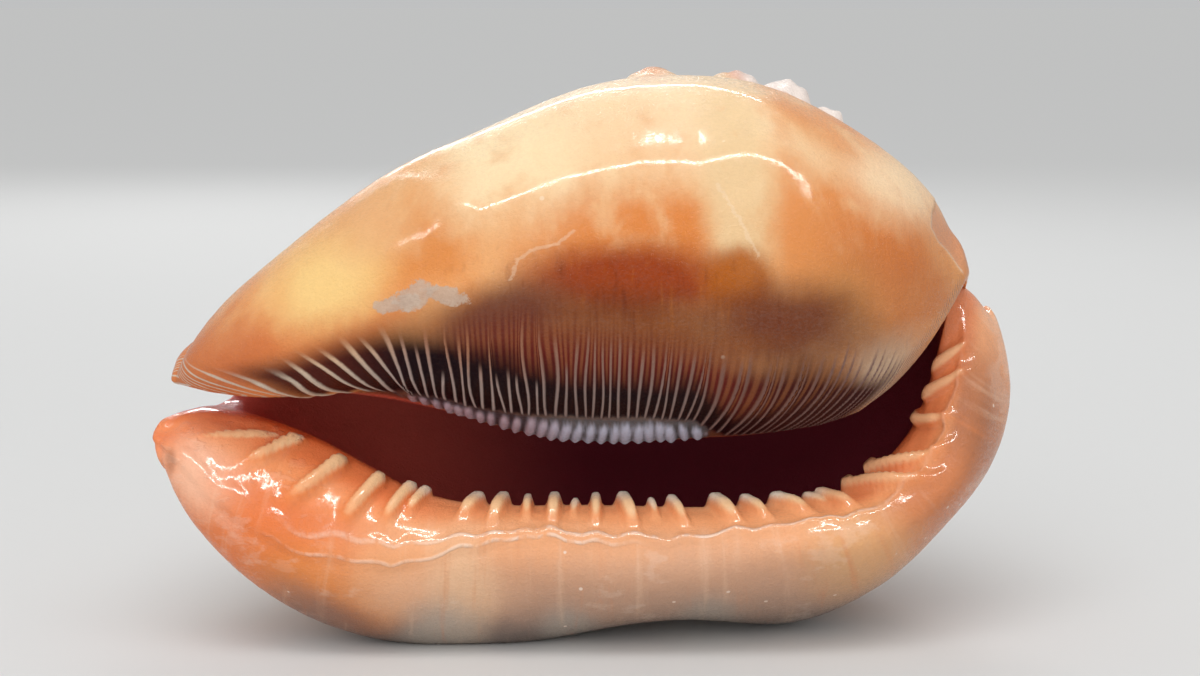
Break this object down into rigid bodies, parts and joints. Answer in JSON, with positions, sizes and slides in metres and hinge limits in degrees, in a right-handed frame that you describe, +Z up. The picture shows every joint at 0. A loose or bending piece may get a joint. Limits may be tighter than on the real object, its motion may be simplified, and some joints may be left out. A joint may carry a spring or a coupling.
{
  "type": "helmet shell",
  "caption": "Bullmouth helmet shell standing on its outer lip, with a glossy swollen shield, a toothed mouth, a knobbed back and a low spire.",
  "frame": {"origin": "middle of the shell's footprint box, on the surface it stands on", "axes": "+X along the shell from the canal to the spire, -Y out of the mouth, +Z up from the outer lip to the shield"},
  "size_m": [0.1604, 0.0916, 0.1055],
  "materials": {
    "glazed_shell": "gloss"
  },
  "bodies": {
    "root": {"helmet_shell": "glazed_shell"}
  },
  "joints": []
}
